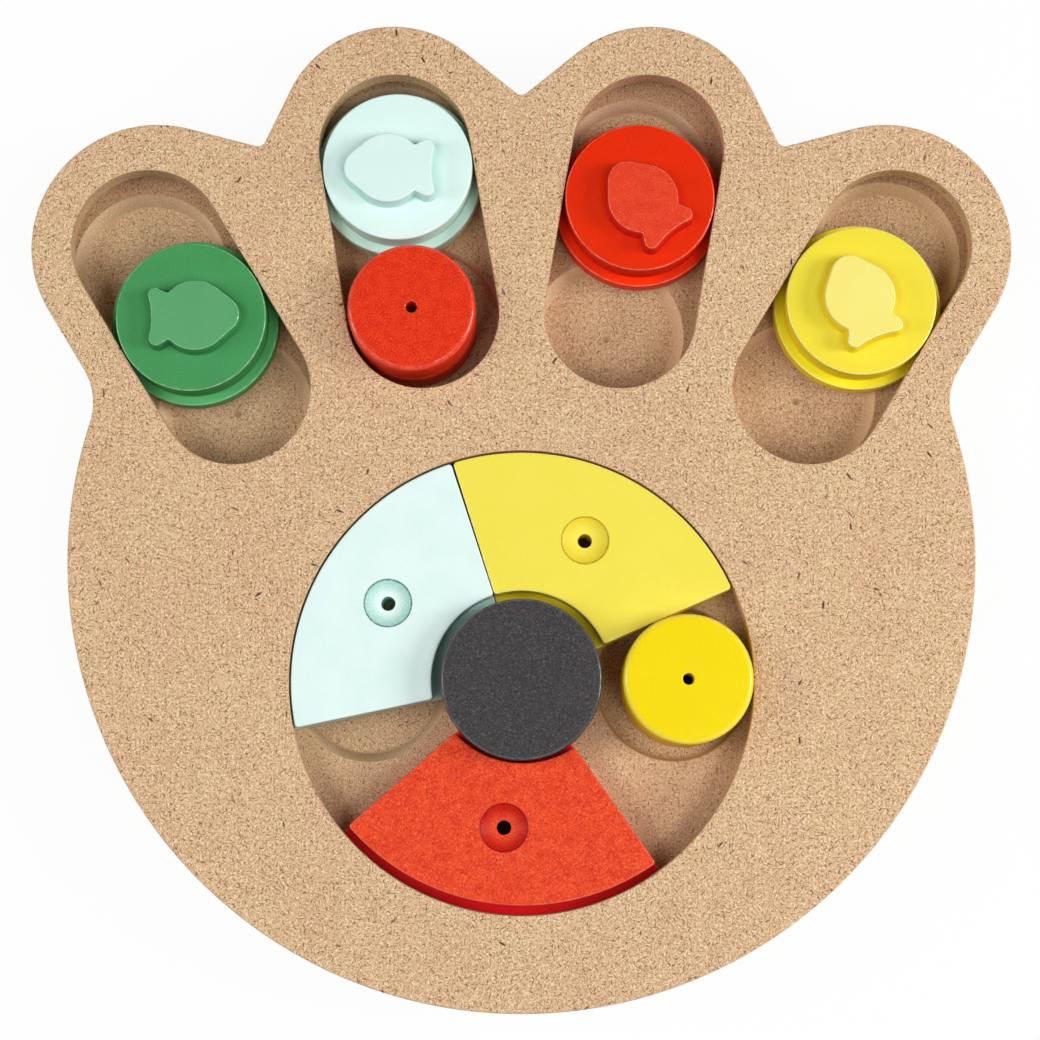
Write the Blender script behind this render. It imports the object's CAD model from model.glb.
import math

import bpy
import numpy as np
from mathutils.geometry import tessellate_polygon
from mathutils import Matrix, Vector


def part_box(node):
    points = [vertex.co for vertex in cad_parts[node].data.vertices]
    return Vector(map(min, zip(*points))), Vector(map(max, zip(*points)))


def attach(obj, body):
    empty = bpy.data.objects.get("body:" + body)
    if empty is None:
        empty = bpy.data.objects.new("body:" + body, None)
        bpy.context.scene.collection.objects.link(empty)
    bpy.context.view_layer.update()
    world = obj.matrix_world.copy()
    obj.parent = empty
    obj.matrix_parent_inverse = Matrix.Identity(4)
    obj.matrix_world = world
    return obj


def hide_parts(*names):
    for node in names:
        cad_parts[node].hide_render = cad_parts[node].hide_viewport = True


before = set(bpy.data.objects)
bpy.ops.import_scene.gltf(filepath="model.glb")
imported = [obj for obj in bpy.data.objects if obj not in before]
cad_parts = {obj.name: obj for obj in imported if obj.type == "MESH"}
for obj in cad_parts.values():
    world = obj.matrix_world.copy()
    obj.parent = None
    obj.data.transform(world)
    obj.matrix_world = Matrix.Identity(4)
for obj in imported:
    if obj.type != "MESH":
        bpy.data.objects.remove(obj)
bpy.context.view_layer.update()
mm = 0.001  # shapes are worked out in millimetres
sharpAngle = 38  # degrees between faces from which an edge stays sharp
guard = 0.3  # width of the flat ring beside a broken edge, which keeps the face's shading flat


# sRGB 0-255 to the linear colour that a shader socket takes
def tint(red, green, blue):
    c = np.array([red, green, blue]) / 255
    c = np.where(c <= 0.04045, c / 12.92, ((c + 0.055) / 1.055) ** 2.4)
    return (*c.tolist(), 1.0)


class Wire:
    # one output socket that takes part in plain expressions
    def __init__(self, tree, socket=None):
        self.tree, self.socket = tree, socket

    # adds any node: its settings first, then the values or links of its sockets
    def node(self, kind, settings=None, sockets=None, output=0):
        made = self.tree.nodes.new(kind)
        for key, value in (settings or {}).items():
            setattr(made, key, value)
        for key, value in (sockets or {}).items():
            if isinstance(value, Wire):
                self.tree.links.new(value.socket, made.inputs[key])
            else:
                made.inputs[key].default_value = value
        return Wire(self.tree, made.outputs[output])

    def other(self, output):
        return Wire(self.tree, self.socket.node.outputs[output])

    def maths(self, operation, *values):
        return self.node("ShaderNodeMath", {"operation": operation}, dict(enumerate(values)))

    def vector(self, operation, other, output=0):
        return self.node("ShaderNodeVectorMath", {"operation": operation}, {0: self, 1: other}, output)

    # smooth step of the value from low to high, falling where low is the larger
    def ramp(self, low, high):
        ends = {"Value": self, "From Min": low, "From Max": high}
        return self.node("ShaderNodeMapRange", {"interpolation_type": "SMOOTHSTEP"}, ends)

    # this colour with another laid over it by a share
    def under(self, colour, share, how="MIX"):
        settings = {"data_type": "RGBA", "blend_type": how}
        return self.node("ShaderNodeMix", settings, {0: share, 6: self, 7: colour}, 2)

    def __add__(self, b):
        return self.maths("ADD", self, b)

    def __sub__(self, b):
        return self.maths("SUBTRACT", self, b)

    def __rsub__(self, a):
        return self.maths("SUBTRACT", a, self)

    def __mul__(self, b):
        return self.maths("MULTIPLY", self, b)

    def __truediv__(self, b):
        return self.maths("DIVIDE", self, b)

    __radd__ = __add__
    __rmul__ = __mul__


# A fresh material, its shader, and Object coordinates in millimetres about a centre
def newFinish(name, centre=(0, 0, 0)):
    material = bpy.data.materials.new(name)
    material.use_nodes = True
    start = Wire(material.node_tree)
    spot = start.node("ShaderNodeTexCoord", output="Object")
    away = tuple(-c for c in centre)
    place = start.node("ShaderNodeMapping", None,
                       {"Vector": spot, "Location": away, "Scale": (1 / mm, 1 / mm, 1 / mm)})
    return material, material.node_tree.nodes["Principled BSDF"], place, spot.other("Normal")


# Smooth noise from 0 to 1 whose lumps are about size millimetres across
def noise(place, size, detail=2.0, rough=0.5):
    return place.node("ShaderNodeTexNoise", None,
                      {"Vector": place, "Scale": 1 / size, "Detail": detail, "Roughness": rough})


# Kinds of fibre, in millimetres: space between them, half length, half width, share of the cells, place in the noise
fibreKinds = {
    "strokes": {"cell": 0.85, "length": 0.45, "width": 0.11, "share": 0.9, "shift": 7.7},
    "specks": {"cell": 1.7, "length": 0.6, "width": 0.14, "share": 0.75, "shift": 3.1},
    "darks": {"cell": 6.5, "length": 1.2, "width": 0.32, "share": 0.3, "shift": 11.7},
    "pales": {"cell": 1.2, "length": 0.6, "width": 0.12, "share": 0.8, "shift": 23.9},
    "dots": {"cell": 0.75, "length": 0.2, "width": 0.15, "share": 0.7, "shift": 5.3},
}
fibreFade = {"sunk": 0.88, "core": 0.35, "faint": 0.25}  # part of the depth left out, full core, span of faint ones


# Short fibres: round each Voronoi point, u along a random direction and d the distance,
# a fibre covers u^2 / length^2 + (d^2 - u^2) / width^2 < 1; share is the part of the cells that has one.
# Distance along the face's normal counts little, so that a face shows the fibres of most of the cells it cuts
def fibres(place, normal, cell, length, width, share, shift):
    moved = place.vector("ADD", (shift, 2.3 * shift, 0.7 * shift))
    cells = place.node("ShaderNodeTexVoronoi", None, {"Vector": moved, "Scale": 1 / cell}, "Color")
    offset = moved.vector("SUBTRACT", cells.other("Position"))
    sunk = offset.vector("DOT_PRODUCT", normal, "Value") * fibreFade["sunk"]
    offset = offset.vector("SUBTRACT", normal.vector("MULTIPLY", sunk))
    chance = place.node("ShaderNodeSeparateColor", None, {0: cells})
    lean = place.node("ShaderNodeCombineXYZ", None, {0: chance.other(1) - 0.5, 1: chance.other(2) - 0.5})
    along = offset.vector("DOT_PRODUCT", lean.vector("NORMALIZE", (0, 0, 0)), "Value")
    reach = offset.vector("DOT_PRODUCT", offset, "Value")
    u = along * along
    body = u / length**2 + (reach - u) / width**2
    return body.ramp(1.0, fibreFade["core"]) * chance.ramp(share, share - fibreFade["faint"])


# Joins a wire to a named socket of a shader
def link(wire, shader, socket):
    wire.tree.links.new(wire.socket, shader.inputs[socket])


# Normal bent by the slope of a height, which stands for depth millimetres
def bump(place, height, strength, depth):
    return place.node("ShaderNodeBump", None,
                      {"Strength": strength, "Distance": depth * mm, "Height": height})


# Height of the object's normal or of the place itself, as one value
def heightOf(place, vector, axis="Z"):
    return place.node("ShaderNodeSeparateXYZ", None, {0: vector}, axis)


boardBands = {  # values between which a share goes from none to all
    "cloud": (0.3, 0.7), "dark": (0.50, 0.34), "pale": (0.52, 0.68), "wall": (0.35, 0.1), "mark": (0.2, 0.5),
    "flat": (0.85, 0.6), "slope": (0.1, 0.25),
}


# Raw fibreboard: a tan ground with faint clouds, a fine dark and pale grain, then pale fibres, brown strokes and
# specks and sparse dark flecks; walls are browner than the faces. With a floor level named, the toe slots' floor
# is shaded, the drill's marks in the wells are dark and the wells' sloped walls pale
def rawBoard(name, look):
    material, shader, place, normal = newFinish(name)
    rise = heightOf(place, normal)
    up = rise.maths("ABSOLUTE", rise)
    cloud = noise(place, look["cloudSize"]).ramp(*boardBands["cloud"])
    fine = noise(place, look["grainSize"], 2, 0.65)
    colour = place.node("ShaderNodeMix", {"data_type": "RGBA"},
                        {0: cloud, 6: look["warm"], 7: look["pale"]}, 2)
    colour = colour.under(look["fibre"], fine.ramp(*boardBands["dark"]) * look["grain"])
    colour = colour.under(look["light"], fine.ramp(*boardBands["pale"]) * look["grain"])
    strokes, specks, darks, pales = (fibres(place, normal, **fibreKinds[kind])
                                     for kind in ("strokes", "specks", "darks", "pales"))
    colour = colour.under(look["light"], pales * look["speck"])
    colour = colour.under(look["fibre"], strokes * look["speck"])
    colour = colour.under(look["speckle"], specks * look["speck"])
    colour = colour.under(look["dark"], darks * look["fleck"])
    if "floor" in look:
        level, ahead = heightOf(place, place), heightOf(place, place, "Y")
        toes = ahead.ramp(look["toesFrom"] - look["toesSoft"], look["toesFrom"] + look["toesSoft"])
        milled = level.ramp(look["floor"] - 0.3, look["floor"] - 0.1) * toes
        colour = colour.under(look["shade"], milled * look["shadeShare"], "MULTIPLY")
        mark = level.ramp(look["wellFloor"] - 0.05, look["wellFloor"] - 0.3) * rise.ramp(*boardBands["mark"])
        colour = colour.under(look["dark"], mark * look["markShare"])
        sloped = up.ramp(*boardBands["flat"]) * rise.ramp(*boardBands["slope"])
        colour = colour.under(look["slope"], sloped * look["slopeShare"])
    colour = colour.under(look["wall"], up.ramp(*boardBands["wall"]) * look["wallShare"], "MULTIPLY")
    link(colour, shader, "Base Color")
    shader.inputs["Roughness"].default_value = look["rough"]
    shader.inputs["Specular IOR Level"].default_value = look["gloss"]
    height = fine + specks * -look["speckSink"] + darks * -look["fleckSink"]
    link(bump(place, height, look["bump"], look["bumpDepth"]), shader, "Normal")
    return material


paintBands = {  # values between which a share goes from none to all
    "cloud": (0.35, 0.65), "light": (0.53, 0.74), "deep": (0.47, 0.28), "wall": (0.6, 0.15), "chip": (0.42, 0.62),
    "edgeRise": (0.3, 0.65), "edgeFall": (0.985, 0.9), "pits": (0.35, 0.6), "linePits": (0.4, 0.55),
}
dishSoft = {"rim": 0.1, "slope": (0.3, 0.9), "line": (0.6, 0.15), "pitSize": 0.4, "pitHeight": 1.5}


# Paint on fibreboard: one colour with faint clouds and the board's grain showing through as fine dots, deeper on the
# walls, paler and glossier along the broken edges, deeper at a grip's foot, and a pitted bowl where a dish is named
def paintCoat(name, look):
    material, shader, place, normal = newFinish(name)
    up = heightOf(place, normal)
    up = up.maths("ABSOLUTE", up)
    cloud = noise(place, look["cloudSize"]).ramp(*paintBands["cloud"])
    fine = noise(place, look["grainSize"], 2, 0.6)
    dots = fibres(place, normal, **fibreKinds["dots"])
    colour = place.node("ShaderNodeMix", {"data_type": "RGBA"},
                        {0: cloud * look["cloud"], 6: look["face"], 7: look["deep"]}, 2)
    colour = colour.under(look["light"], fine.ramp(*paintBands["light"]) * look["grain"])
    colour = colour.under(look["deep"], fine.ramp(*paintBands["deep"]) * look["grain"])
    colour = colour.under(look["light"], dots * look["dots"])
    colour = colour.under(look["deep"], up.ramp(*paintBands["wall"]) * look["wall"])
    chip = noise(place, look["chipSize"], 3, 0.7).ramp(*paintBands["chip"])
    edge = up.ramp(*paintBands["edgeRise"]) * up.ramp(*paintBands["edgeFall"]) * (chip * 0.6 + 0.4)
    height = fine + dots * look["dotHeight"]
    if "dish" in look:
        flat = place.vector("SUBTRACT", (*look["dish"], 0)).vector("MULTIPLY", (1, 1, 0))
        far = flat.vector("LENGTH", (0, 0, 0), "Value")
        r = look["dishRadius"]
        bowl = far.ramp(r + dishSoft["rim"], r - dishSoft["rim"])
        pits = noise(place, dishSoft["pitSize"], 2, 0.7)
        slope = far.ramp(*(r * share for share in dishSoft["slope"])) * bowl
        slope = slope * (pits.ramp(*paintBands["pits"]) * 0.5 + 0.5)
        line = far.ramp(*(r - width for width in dishSoft["line"])) * bowl
        line = line * (pits.ramp(*paintBands["linePits"]) * 0.5 + 0.5)
        colour = colour.under(look["deep"], slope * look["bowl"])
        colour = colour.under(look["pit"], line)
        edge = edge * (1 - bowl)
        height = height + bowl * pits * dishSoft["pitHeight"]
    colour = colour.under(look["light"], edge * look["edge"])
    if "foot" in look:
        level = heightOf(place, place)
        colour = colour.under(look["deep"], level.ramp(look["foot"] + 2.6, look["foot"] + 0.6))
    link(colour, shader, "Base Color")
    link(fine * look["roughSpan"] + look["rough"], shader, "Roughness")
    link(edge * look["shine"], shader, "Coat Weight")
    shader.inputs["Coat Roughness"].default_value = look["coatRough"]
    shader.inputs["Specular IOR Level"].default_value = look["gloss"]
    link(bump(place, height, look["bump"], look["bumpDepth"]), shader, "Normal")
    return material


# Closed path round circles (x, y, radius) in turn, with their common tangents between them:
# at normal angle a the point is centre - radius * (cos a, sin a); a negative radius rounds an inner corner.
# Points on a round lie at most step millimetres and bend radians apart
def beltPath(circles, step=1.0, bend=0.14):
    x, y, r = np.array(circles, float).T
    dx, dy = np.roll(x, -1) - x, np.roll(y, -1) - y
    slant = np.clip((np.roll(r, -1) - r) / np.hypot(dx, dy), -1, 1)
    leave = np.arctan2(dy, dx) + np.arccos(slant)
    enter = np.roll(leave, 1)
    turn = np.where(r > 0, (leave - enter) % math.tau, -((enter - leave) % math.tau))
    turn = np.where(np.abs(turn) > math.tau - 1e-5, 0, turn)
    share = np.maximum(np.abs(turn * r) / step, np.abs(turn) / bend)
    count = np.maximum(2, np.ceil(share) + 1).astype(int)
    angle = np.concatenate([a + t * np.linspace(0, 1, n) for a, t, n in zip(enter, turn, count)])
    normal = np.stack([np.cos(angle), np.sin(angle)], 1)
    path = np.repeat(np.stack([x, y], 1), count, 0) - np.repeat(r, count)[:, None] * normal
    keep = np.hypot(*(path - np.roll(path, 1, 0)).T) > 1e-3
    return path[keep], normal[keep]


# Circle of a radius about a point, with its inward normals
def roundPath(x, y, radius, count=128):
    angle = np.linspace(0, math.tau, count, endpoint=False)
    out = np.stack([np.cos(angle), np.sin(angle)], 1)
    return np.array([x, y]) + radius * out, -out


# The same path as the edge of a hole: walked the other way, its normals into the wood
def asHole(path):
    return path[0][::-1], -path[1][::-1]


# Quarter round of a radius from a flat face to a wall that lies outset from the path by inset
def quarter(radius, level, inset=0.0, steps=6):
    t = np.linspace(0, math.pi / 2, steps)
    return np.stack([inset + radius * (1 - np.sin(t)), level - radius * (1 - np.cos(t))], 1)


# Edge of a slab from its top face to its bottom: a quarter round, a wall and a quarter round;
# narrow flat rings beside the rounds keep the faces' shading flat
def edgeProfile(low, high, topRound, lowRound):
    top = quarter(topRound, high)
    foot = quarter(lowRound, -low)[::-1] * (1, -1)
    wall = [[0, high - topRound - guard], [0, low + lowRound + guard]]
    return np.vstack([[[topRound + guard, high]], top, wall, foot, [[lowRound + guard, low]]])


# Fills rings of points that lie in one plane as one face with holes, turned up or down
def fillFace(points, rings, up):
    tris = np.array(tessellate_polygon([points[r].tolist() for r in rings]))
    tris = np.concatenate(rings)[tris]
    a, b, c = (points[tris[:, k], :2] for k in range(3))
    spin = (b - a)[:, 0] * (c - a)[:, 1] - (b - a)[:, 1] * (c - a)[:, 0]
    wrong = (spin > 0) != up
    tris[wrong] = tris[wrong][:, ::-1]
    return tris.tolist()


# Slab with shaped edges: for each closed path, ring point = path + inset * normal at the profile's height.
# First rings make the top face and last rings the bottom; a blind hole has its own floor or roof
def carveSlab(edges):
    verts, faces, tops, lows, base = [], [], [], [], 0
    for (path, normal), profile, blind in edges:
        inset, height = np.array(profile, float).T
        m, n = len(inset), len(path)
        ring = path[None] + inset[:, None, None] * normal[None]
        verts.append(np.dstack([ring, np.repeat(height[:, None], n, 1)]).reshape(-1, 3))
        grid = base + np.arange(m * n).reshape(m, n)
        ahead = np.roll(grid, -1, 1)
        faces += np.stack([grid[:-1], grid[1:], ahead[1:], ahead[:-1]], -1).reshape(-1, 4).tolist()
        if blind == "roof":
            faces.append(grid[0].tolist())
        else:
            tops.append(grid[0])
        if blind == "floor":
            faces.append(grid[-1][::-1].tolist())
        else:
            lows.append(grid[-1])
        base += m * n
    points = np.vstack(verts)
    faces += fillFace(points, tops, True) + fillFace(points, lows, False)
    return points, faces


# Mesh of a shape given in millimetres, smooth but for edges sharper than an angle, riding a body in place of CAD nodes
def makePiece(name, shape, material, body, slot, *nodes):
    points, faces = shape
    mesh = bpy.data.meshes.new(name)
    mesh.from_pydata((points * mm).tolist(), [], faces)
    mesh.polygons.foreach_set("use_smooth", np.ones(len(mesh.polygons), bool))
    mesh.set_sharp_from_angle(angle=math.radians(sharpAngle))
    mesh.materials.append(material)
    piece = bpy.data.objects.new(name, mesh)
    bpy.context.scene.collection.objects.link(piece)
    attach(piece, body)
    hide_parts(*nodes)
    return piece


# Lowest corner, highest corner and middle of a CAD node, in millimetres
def nodeBox(node):
    low, high = (np.array(corner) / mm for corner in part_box(node))
    return low, high, (low + high) / 2


# Paw outline: a round heel and four toes, with rounds between them (x, y, radius; below zero for an inner corner)
paw = {
    "heel": (0, -10.773, 110),
    "crown": [(120.578, 25.79, -16), (89.943, 65.101, 30.6), (65.155, 92.272, -2), (31.908, 92.873, 27.9),
              (0, 105.361, -2), (-31.908, 92.873, 27.9), (-65.155, 92.272, -2), (-89.943, 65.101, 30.6),
              (-120.578, 25.79, -16)],
    "slotTips": [(92.037, 65.466), (31.364, 89.72), (-31.364, 89.72), (-92.037, 65.466)],
    "slotHeels": [(70.217, 29.579), (24.215, 48.333), (-24.215, 48.333), (-70.217, 29.579)],
    "slotRadius": 18.7, "lip": 6, "lap": 2.5,
    "dial": (0, -41.773), "dialRadius": 56, "dialLap": 3.5,
    "edge": 0.5, "seam": 0.12, "slotEdge": 0.3,
}


# Belt round the heel and the crown of toes
def pawPath():
    return beltPath([paw["heel"], *paw["crown"]])


# Edge of an opening in the top board: a broken edge, the lip's wall, then the undercut for the flanges
def lipProfile(low, high, lap):
    under = high - paw["lip"]
    walls = [[0, high - paw["slotEdge"] - guard], [0, under + 0.1], [0, under], [lap, under], [lap, low]]
    return np.vstack([[[paw["slotEdge"] + guard, high]], quarter(paw["slotEdge"], high), walls])


topBoardLook = {
    "pale": tint(229, 193, 148), "warm": tint(227, 185, 144), "fibre": tint(152, 109, 72),
    "speckle": tint(98, 64, 40), "dark": tint(60, 38, 24), "light": tint(252, 232, 204),
    "wall": tint(190, 158, 130), "cloudSize": 16, "grainSize": 0.22, "grain": 0.75, "speck": 1.0, "fleck": 0.95,
    "wallShare": 0.25, "rough": 0.85, "gloss": 0.15, "bump": 0.35, "bumpDepth": 0.25,
    "speckSink": 0.5, "fleckSink": 0.6,
}
low, high, _ = nodeBox("top_board")
boardTop, boardLow = high[2], low[2]
openings = [asHole(beltPath([(*t, paw["slotRadius"]), (*h, paw["slotRadius"])]))
            for t, h in zip(paw["slotTips"], paw["slotHeels"])]
edges = [(pawPath(), edgeProfile(boardLow, boardTop, paw["edge"], paw["seam"]), None)]
edges += [(o, lipProfile(boardLow, boardTop, paw["lap"]), None) for o in openings]
dialHole = asHole(roundPath(*paw["dial"], paw["dialRadius"], 220))
edges.append((dialHole, lipProfile(boardLow, boardTop, paw["dialLap"]), None))
makePiece("topBoard", carveSlab(edges), rawBoard("rawTopBoard", topBoardLook), "board", "mdf", "top_board")
print("top board done")

# Base board under it: blind treat wells with the drill's mark, and the screw's hole
wells = {"rim": 19.2, "rimIn": 0.25, "rimDown": 0.35, "open": 17.2, "steep": 18.5, "depth": 5, "floorRound": 0.9,
         "markRadius": 1.0, "markTip": 0.3, "markDepth": 0.8,
         "dialRing": 37.3, "screwRadius": 2.3, "headRadius": 4.3, "headDepth": 2.8,
         "toeShifts": [(-1.4, -0.5), (-2.9, -3.4), (0, 0), (-0.8, -3.6)], "cups": (6, 8)}


# Section of a well from its rim at level: a broken edge, a wall that narrows to the foot radius, a round and the mark
def wellProfile(level, foot):
    rim, floor, bend = wells["rim"], level - wells["depth"], wells["floorRound"]
    t = np.linspace(0, math.pi / 2, 6)
    corner = np.stack([foot - rim - bend * (1 - np.cos(t)), floor + bend * (1 - np.sin(t))], 1)
    mark = [[wells["markRadius"] - rim, floor], [wells["markTip"] - rim, floor - wells["markDepth"]]]
    return np.vstack([[[guard, level], [0, level], [-wells["rimIn"], level - wells["rimDown"]]], corner, mark])


low, high, _ = nodeBox("base_board")
baseBoardLook = dict(topBoardLook, speck=0.8, fleck=0.5, toesFrom=14, toesSoft=5, slope=tint(240, 208, 172),
                     slopeShare=0.4, markShare=0.5, shade=tint(206, 190, 176), shadeShare=0.6,
                     floor=high[2], wellFloor=high[2] - wells["depth"])
edges = [(pawPath(), edgeProfile(low[2], high[2], paw["seam"], paw["edge"]), None)]
spots = [(x + dx, y + dy) for ends in (paw["slotTips"], paw["slotHeels"])
         for (x, y), (dx, dy) in zip(ends, wells["toeShifts"])]
spots += [(paw["dial"][0] + x * wells["dialRing"], paw["dial"][1] + y * wells["dialRing"])
          for x, y in ((1, 0), (0, 1), (-1, 0), (0, -1))]
feet = [wells["steep"] if i in wells["cups"] else wells["open"] for i in range(len(spots))]
edges += [(asHole(roundPath(*s, wells["rim"])), wellProfile(high[2], f), "floor") for s, f in zip(spots, feet)]
bore = [[0, high[2]], [0, low[2] + wells["headDepth"]],
        [wells["headRadius"] - wells["screwRadius"], low[2] + wells["headDepth"]],
        [wells["headRadius"] - wells["screwRadius"], low[2]]]
edges.append((asHole(roundPath(*paw["dial"], wells["screwRadius"], 48)), bore, None))
makePiece("baseBoard", carveSlab(edges), rawBoard("rawBaseBoard", baseBoardLook), "board", "mdf", "base_board")
print("base board done")

# Toe sliders: a flange and a cap with rounded edges, and a fish with sloped sides
slider = {"flangeEdge": 0.5, "capEdge": 0.5, "lowEdge": 0.3, "clear": 0.05}  # clear: the flange above its floor
# Fish, head towards +X: circles (x, y, radius) of its top edge, heading in degrees from +X, place off the cap's middle;
# middle and foot are the parts of its height at which the side leans half and all of the way
fish = {
    "belly": (0.3, 0, 8.6), "snout": (6.4, 0, 4.65), "waist": (-6.36, 6.67, -0.8),
    "lobe": (-9.3, 5.4, 1.75), "tailEnd": (-30.38, 0, -20),
    "heading": {"green": 2, "mint": 180, "red": 130, "yellow": 112},
    "off": {"green": (1.2, -0.4), "mint": (-1.9, -1.3), "red": (0.8, -1.5), "yellow": (-0.8, 0)},
    "edge": 0.4, "topRing": 0.25, "lean": 0.35, "flare": 0.35, "middle": 0.45, "foot": 0.12,
}
plainPaint = {"grainSize": 0.6, "grain": 0.06, "dots": 0.04, "cloudSize": 12, "cloud": 0.1, "wall": 0.6, "edge": 0.65,
              "chipSize": 1.4, "dotHeight": 0.4, "rough": 0.34, "roughSpan": 0.1, "gloss": 0.12, "shine": 1.0,
              "coatRough": 0.12, "bump": 0.1, "bumpDepth": 0.12}
redSpeckle = {"grainSize": 0.4, "grain": 0.85, "dots": 0.06, "cloudSize": 2.5, "cloud": 0.3, "bump": 0.15}
sliderLooks = {
    "green": dict(plainPaint, face=tint(70, 152, 88), deep=tint(40, 118, 60), light=tint(150, 214, 162),
                  flange=tint(92, 178, 108)),
    "mint": dict(plainPaint, face=tint(227, 252, 246), deep=tint(188, 248, 229), light=tint(246, 255, 252),
                 flange=tint(218, 255, 242)),
    "red": dict(plainPaint, face=tint(230, 44, 0), deep=tint(222, 8, 0), light=tint(250, 130, 90),
                flange=tint(248, 50, 0)),
    "yellow": dict(plainPaint, face=tint(244, 226, 62), deep=tint(250, 222, 0), light=tint(255, 250, 190),
                   flange=tint(255, 242, 40)),
}
fishLooks = {
    "green": {"face": tint(94, 166, 112), "deep": tint(52, 130, 72)},
    "mint": {"face": tint(226, 251, 245), "deep": tint(190, 234, 224)},
    "red": dict(redSpeckle, face=tint(234, 70, 40), deep=tint(206, 26, 10), grain=0.5),
    "yellow": {"face": tint(250, 238, 130), "deep": tint(242, 214, 26)},
}


# Belt round the belly, the snout and the two-lobed tail, turned to the fish's heading about a point
def fishPath(centre, heading):
    flip = np.array([1, -1, 1])
    belly, snout, waist, lobe, tail = (np.array(fish[k]) for k in ("belly", "snout", "waist", "lobe", "tailEnd"))
    circles = np.array([snout, belly, waist, lobe, tail, lobe * flip, waist * flip, belly])
    c, s = math.cos(math.radians(heading)), math.sin(math.radians(heading))
    turned = circles[:, :2] @ np.array([[c, s], [-s, c]]) + centre
    return beltPath(np.column_stack([turned, circles[:, 2]]), 0.5)


# Side of a fish: a rounded top edge, a wall that leans out by lean over its height, and a soft foot
def fishProfile(low, high):
    top = quarter(fish["edge"], high)
    span = high - low
    wall = [[-fish["lean"] / 2, low + span * fish["middle"]], [-fish["lean"], low + span * fish["foot"]],
            [-fish["lean"] - fish["flare"], low]]
    return np.vstack([[[fish["edge"] + fish["topRing"], high]], top, wall])


for name, look in sliderLooks.items():
    body = name + "_slider"
    flangeLow, flangeHigh, centre = nodeBox(body + "_flange")
    capLow, capHigh, _ = nodeBox(body + "_cap")
    fishLow, fishHigh, _ = nodeBox(name + "_fish")
    x, y = centre[:2]
    coat = paintCoat(name + "SliderPaint", look)
    flangeCoat = paintCoat(name + "FlangePaint", dict(look, face=look["flange"]))
    flange = [(roundPath(x, y, (flangeHigh - flangeLow)[0] / 2),
               edgeProfile(flangeLow[2] + slider["clear"], flangeHigh[2], slider["flangeEdge"], slider["lowEdge"]),
               None)]
    makePiece(name + "Flange", carveSlab(flange), flangeCoat, body, name + "_paint", body + "_flange")
    cap = [(roundPath(x, y, (capHigh - capLow)[0] / 2),
            edgeProfile(capLow[2], capHigh[2], slider["capEdge"], slider["lowEdge"]), None)]
    makePiece(name + "Cap", carveSlab(cap), coat, body, name + "_paint", body + "_cap")
    grip = [(fishPath(centre[:2] + fish["off"][name], fish["heading"][name]),
             fishProfile(fishLow[2], fishHigh[2]), None)]
    fishCoat = paintCoat(name + "FishPaint", {**look, **fishLooks[name], "foot": fishLow[2]})
    makePiece(name + "Fish", carveSlab(grip), fishCoat, body, name + "_paint", name + "_fish")
print("sliders done")

# Dial sectors: two glued layers, each a slice of a ring about the dial's axis with small corner rounds
dial = {"plateIn": 21.7, "plateOut": 55.5, "flangeIn": 17, "flangeOut": 59, "sweep": 83.8, "corner": 0.9,
        "from": {"yellow": 23.704, "mint": 108.004, "red": 221.304}, "push": {"yellow": 0, "mint": 0, "red": 1.9},
        "dishRing": 37.3, "dishRadius": 5.9, "dishDepth": 2, "sniffRadius": 1.75, "plateEdge": 0.45, "flangeEdge": 0.5}
sectorLooks = {
    "yellow": dict(plainPaint, face=tint(247, 231, 84), deep=tint(236, 206, 20), light=tint(255, 248, 190),
                   pit=tint(176, 148, 10), bowl=0.6, flange=tint(238, 220, 40)),
    "mint": dict(plainPaint, face=tint(233, 253, 248), deep=tint(158, 218, 204), light=tint(248, 255, 253),
                 pit=tint(60, 104, 94), bowl=0.9, flange=tint(206, 244, 234)),
    "red": dict({**plainPaint, **redSpeckle}, face=tint(238, 76, 36), deep=tint(190, 10, 10), light=tint(250, 122, 90),
                pit=tint(150, 4, 10), bowl=1.0, flange=tint(240, 14, 26)),
}


# Belt of a ring's slice from angle a: the outer arc, four corner rounds and the inner arc
def sectorPath(centre, inner, outer, a):
    k, b = dial["corner"], a + dial["sweep"]
    tipOut, tipIn = (math.degrees(math.asin(k / r)) for r in (outer - k, inner + k))
    corners = [(outer - k, b - tipOut), (inner + k, b - tipIn), (inner + k, a + tipIn), (outer - k, a + tipOut)]
    spots = [(centre[0] + r * math.cos(math.radians(t)), centre[1] + r * math.sin(math.radians(t)), k)
             for r, t in corners]
    return beltPath([(*centre, outer), *spots[:2], (*centre, -inner), *spots[2:]])


# Dish: a shallow bowl, depth = reach of a sphere below its rim, that runs into the straight sniff hole
def dishProfile(low, high):
    r, d, hole = dial["dishRadius"], dial["dishDepth"], dial["sniffRadius"]
    ball = (r * r + d * d) / (2 * d)
    out = np.linspace(r, hole, 12)
    bowl = np.stack([out - r, high + ball - d - np.sqrt(ball * ball - out * out)], 1)
    return np.vstack([[[guard, high]], bowl, [[hole - r, low]]])


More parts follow.
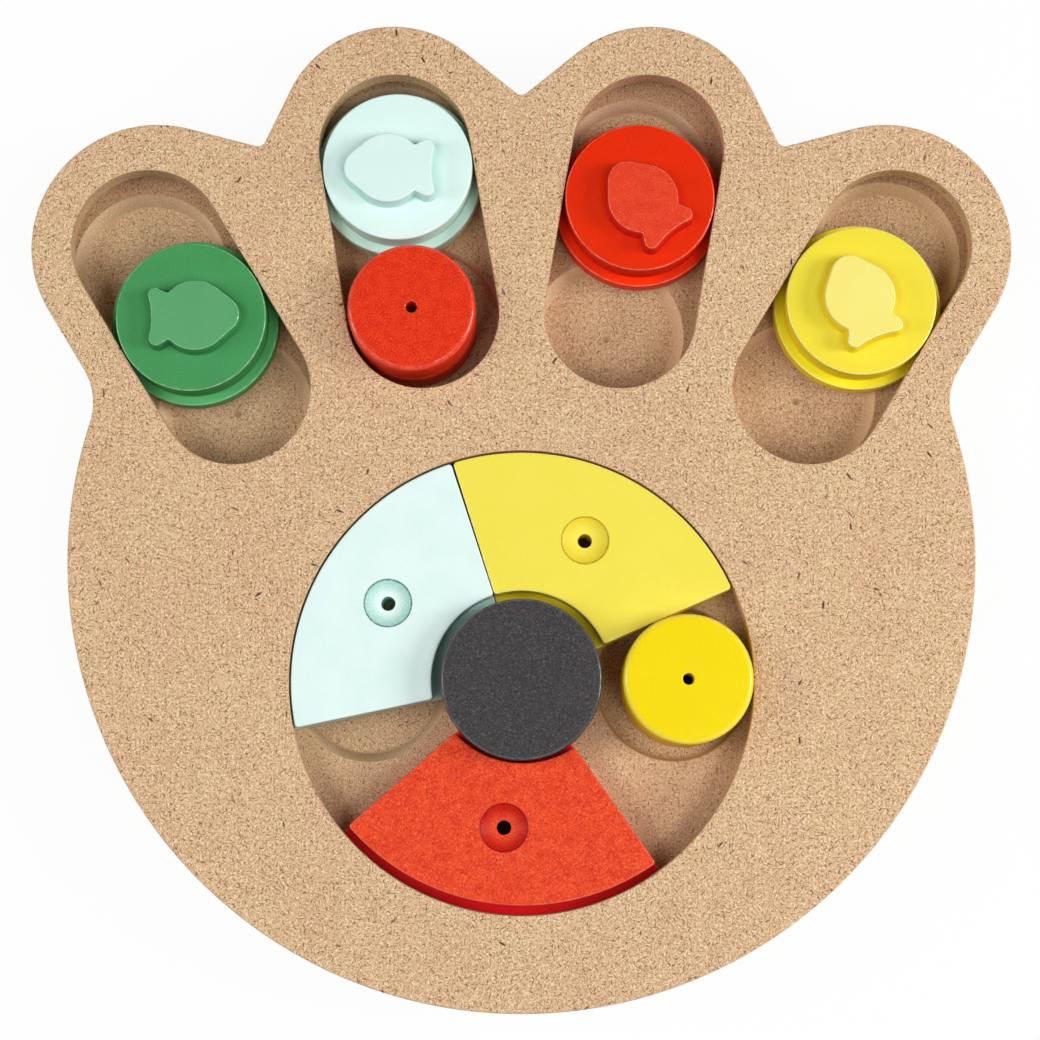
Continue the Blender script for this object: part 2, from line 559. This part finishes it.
for name, look in sectorLooks.items():
    body, start = name + "_sector", dial["from"][name]
    middle = math.radians(start + dial["sweep"] / 2)
    way = np.array([math.cos(middle), math.sin(middle)])
    axis = np.array(paw["dial"]) - dial["push"][name] * way
    dish = axis + dial["dishRing"] * way
    coat = paintCoat(name + "SectorPaint", dict(look, dish=tuple(dish.tolist()), dishRadius=dial["dishRadius"]))
    low, high, _ = nodeBox(body + "_plate")
    plate = [(sectorPath(axis, dial["plateIn"], dial["plateOut"], start),
              edgeProfile(low[2], high[2], dial["plateEdge"], slider["lowEdge"]), None),
             (asHole(roundPath(*dish, dial["dishRadius"], 72)), dishProfile(low[2], high[2]), None)]
    makePiece(name + "SectorPlate", carveSlab(plate), coat, body, name + "_paint", body + "_plate")
    flangeLook = dict(look, face=look["flange"], grain=plainPaint["grain"], cloud=plainPaint["cloud"])
    flangeCoat = paintCoat(name + "SectorFlangePaint", flangeLook)
    low, high, _ = nodeBox(body + "_flange")
    hole = [[guard, high[2]], [0, high[2]], [0, low[2]]]
    flange = [(sectorPath(axis, dial["flangeIn"], dial["flangeOut"], start),
               edgeProfile(low[2], high[2], dial["flangeEdge"], slider["lowEdge"]), None),
              (asHole(roundPath(*dish, dial["sniffRadius"], 48)), hole, None)]
    makePiece(name + "SectorFlange", carveSlab(flange), flangeCoat, body, name + "_paint", body + "_flange")
print("sectors done")

# Lift-off cups: a lid with a round shoulder and a sniff hole on a hollow ring, a groove between them
cup = {"shoulder": 1.4, "groove": 0.7, "sniffRadius": 1.4, "hollowRadius": 11, "holeEdge": 0.3}
cupLooks = {
    "red": dict({**plainPaint, **redSpeckle}, face=tint(234, 56, 20), deep=tint(192, 8, 2), light=tint(246, 100, 70),
                wall=0.25, edge=0.3),
    "yellow": dict(plainPaint, face=tint(248, 222, 0), deep=tint(236, 196, 0), light=tint(255, 246, 150),
                   wall=0.4, edge=0.25),
}
for name, look in cupLooks.items():
    body = name + "_cup"
    coat = paintCoat(name + "CupPaint", look)
    low, high, (x, y, _) = nodeBox(body + "_lid")
    radius = (high - low)[0] / 2
    sniff = np.vstack([[[cup["holeEdge"] + guard, high[2]]], quarter(cup["holeEdge"], high[2]), [[0, low[2]]]])
    lid = [(roundPath(x, y, radius), edgeProfile(low[2], high[2], cup["shoulder"], cup["groove"]), None),
           (asHole(roundPath(x, y, cup["sniffRadius"], 40)), sniff, None)]
    makePiece(name + "CupLid", carveSlab(lid), coat, body, name + "_paint", body + "_lid")
    low, high, _ = nodeBox(body + "_ring")
    hollow = [[guard, high[2]], [0, high[2]], [0, low[2]], [guard, low[2]]]
    ring = [(roundPath(x, y, radius), edgeProfile(low[2], high[2], cup["groove"], cup["groove"]), None),
            (asHole(roundPath(x, y, cup["hollowRadius"])), hollow, None)]
    makePiece(name + "CupRing", carveSlab(ring), coat, body, name + "_paint", body + "_ring")
print("cups done")

# Black knob over the dial's axis, with worn edges and a blind hole for its screw
knob = {"edge": 0.8, "lowEdge": 0.3, "pilotRadius": 2.0, "pilotTop": 24.8}
knobLook = dict(plainPaint, face=tint(54, 52, 52), deep=tint(12, 12, 12), light=tint(100, 98, 96),
                grainSize=0.36, grain=1.0, dots=0.0, edge=0.5, rough=0.5, gloss=0.2, bump=0.3)
low, high, (x, y, _) = nodeBox("centre_knob")
pilot = [[0, knob["pilotTop"]], [0, low[2]], [guard, low[2]]]
stack = [(roundPath(x, y, (high - low)[0] / 2), edgeProfile(low[2], high[2], knob["edge"], knob["lowEdge"]), None),
         (asHole(roundPath(x, y, knob["pilotRadius"], 40)), pilot, "roof")]
makePiece("knob", carveSlab(stack), paintCoat("knobPaint", knobLook), "board", "black_paint", "centre_knob")


# Finish of a piece that keeps its CAD shape: two shades mixed by one noise, which also roughens the face
def plainFinish(name, dark, pale, size, rough, metal, depth, band=(0.3, 0.7), roughSpan=0.2, strength=0.3):
    material, shader, place, _ = newFinish(name)
    grain = noise(place, size, 3, 0.6)
    colour = place.node("ShaderNodeMix", {"data_type": "RGBA"}, {0: grain.ramp(*band), 6: dark, 7: pale}, 2)
    link(colour, shader, "Base Color")
    link(grain * roughSpan + rough, shader, "Roughness")
    shader.inputs["Metallic"].default_value = metal
    link(bump(place, grain, strength, depth), shader, "Normal")
    return material


footLook = {"dark": tint(26, 26, 27), "pale": tint(44, 44, 45), "size": 0.8, "rough": 0.7, "metal": 0.0, "depth": 0.15}
screwLook = {"dark": tint(150, 150, 146), "pale": tint(196, 196, 190), "size": 1.5, "rough": 0.25, "metal": 1.0,
             "depth": 0.05}
keptNodes = {
    "rubber_feet": ("rubber_pad", plainFinish("footRubber", **footLook)),
    "knob_screw": ("zinc_steel", plainFinish("screwZinc", **screwLook)),
    "centre_post": ("mdf", bpy.data.materials["rawBaseBoard"]),
}
for name, (slot, material) in keptNodes.items():
    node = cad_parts[name]
    node.data.materials.clear()
    node.data.materials.append(material)
print("knob and kept pieces done")

# Share of the rays that see a thing straight, in a mirror or through glass
def seenRays(start):
    rays = start.node("ShaderNodeLightPath", output="Is Camera Ray")
    seen = rays.maths("MAXIMUM", rays, rays.other("Is Glossy Ray"))
    return seen.maths("MAXIMUM", seen, rays.other("Is Transmission Ray"))


# Stage: pale floor that looks white to the camera, soft lamps and a white surround
stage = {"half": 3.0, "floorColour": (0.92, 0.92, 0.92, 1), "floorRough": 0.9, "cameraShare": 0.94, "fill": 0.05}
white = (1, 1, 1, 1)
mesh = bpy.data.meshes.new("floor")
h = stage["half"]
mesh.from_pydata([(-h, -h, 0), (h, -h, 0), (h, h, 0), (-h, h, 0)], [], [(0, 1, 2, 3)])
floor = bpy.data.objects.new("floor", mesh)
bpy.context.scene.collection.objects.link(floor)
material, shader, place, _ = newFinish("floorPaper")
shader.inputs["Base Color"].default_value = stage["floorColour"]
shader.inputs["Roughness"].default_value = stage["floorRough"]
glow = place.node("ShaderNodeEmission", None, {"Color": white, "Strength": 1.0})
both = place.node("ShaderNodeMixShader", None,
                  {0: seenRays(place) * stage["cameraShare"], 1: Wire(place.tree, shader.outputs[0]), 2: glow})
link(both, material.node_tree.nodes["Material Output"], "Surface")
mesh.materials.append(material)

world = bpy.data.worlds.new("surround")
bpy.context.scene.world = world
world.use_nodes = True
surround = world.node_tree.nodes["Background"]
link(seenRays(Wire(world.node_tree)) * (1 - stage["fill"]) + stage["fill"], surround, "Strength")
surround.inputs["Color"].default_value = white

# Soft lamps on both sides, high and low, and two at the front: place = distance * (cos e cos a, cos e sin a, sin e)
lamps = {  # azimuth and elevation in degrees, power in watts
    "rightLow": (0, 30, 7.4), "rightHigh": (0, 62, 2.3), "leftLow": (180, 30, 3.6), "leftHigh": (180, 62, 2.7),
    "frontLeft": (225, 62, 1.6), "frontRight": (315, 62, 2.6),
}
lampSize, lampDistance = 0.4, 1.2
for name, (azimuth, elevation, power) in lamps.items():
    a, e = math.radians(azimuth), math.radians(elevation)
    data = bpy.data.lights.new(name, "AREA")
    data.size, data.energy = lampSize, power
    lamp = bpy.data.objects.new(name, data)
    lamp.location = [lampDistance * c for c in (math.cos(e) * math.cos(a), math.cos(e) * math.sin(a), math.sin(e))]
    lamp.rotation_euler = (math.pi / 2 - e, 0, a + math.pi / 2)
    bpy.context.scene.collection.objects.link(lamp)

# Camera over the heel side, a little off the vertical
view = {"lens": 86.5, "sensor": 36, "place": (-0.35, -76.72, 624.5), "tilt": 7}
data = bpy.data.cameras.new("camera")
data.lens, data.sensor_width = view["lens"], view["sensor"]
camera = bpy.data.objects.new("camera", data)
camera.location = [c * mm for c in view["place"]]
camera.rotation_euler = (math.radians(view["tilt"]), 0, 0)
bpy.context.scene.collection.objects.link(camera)
bpy.context.scene.camera = camera
bpy.context.scene.view_settings.view_transform = "Standard"
print("stage, lamps and camera done")
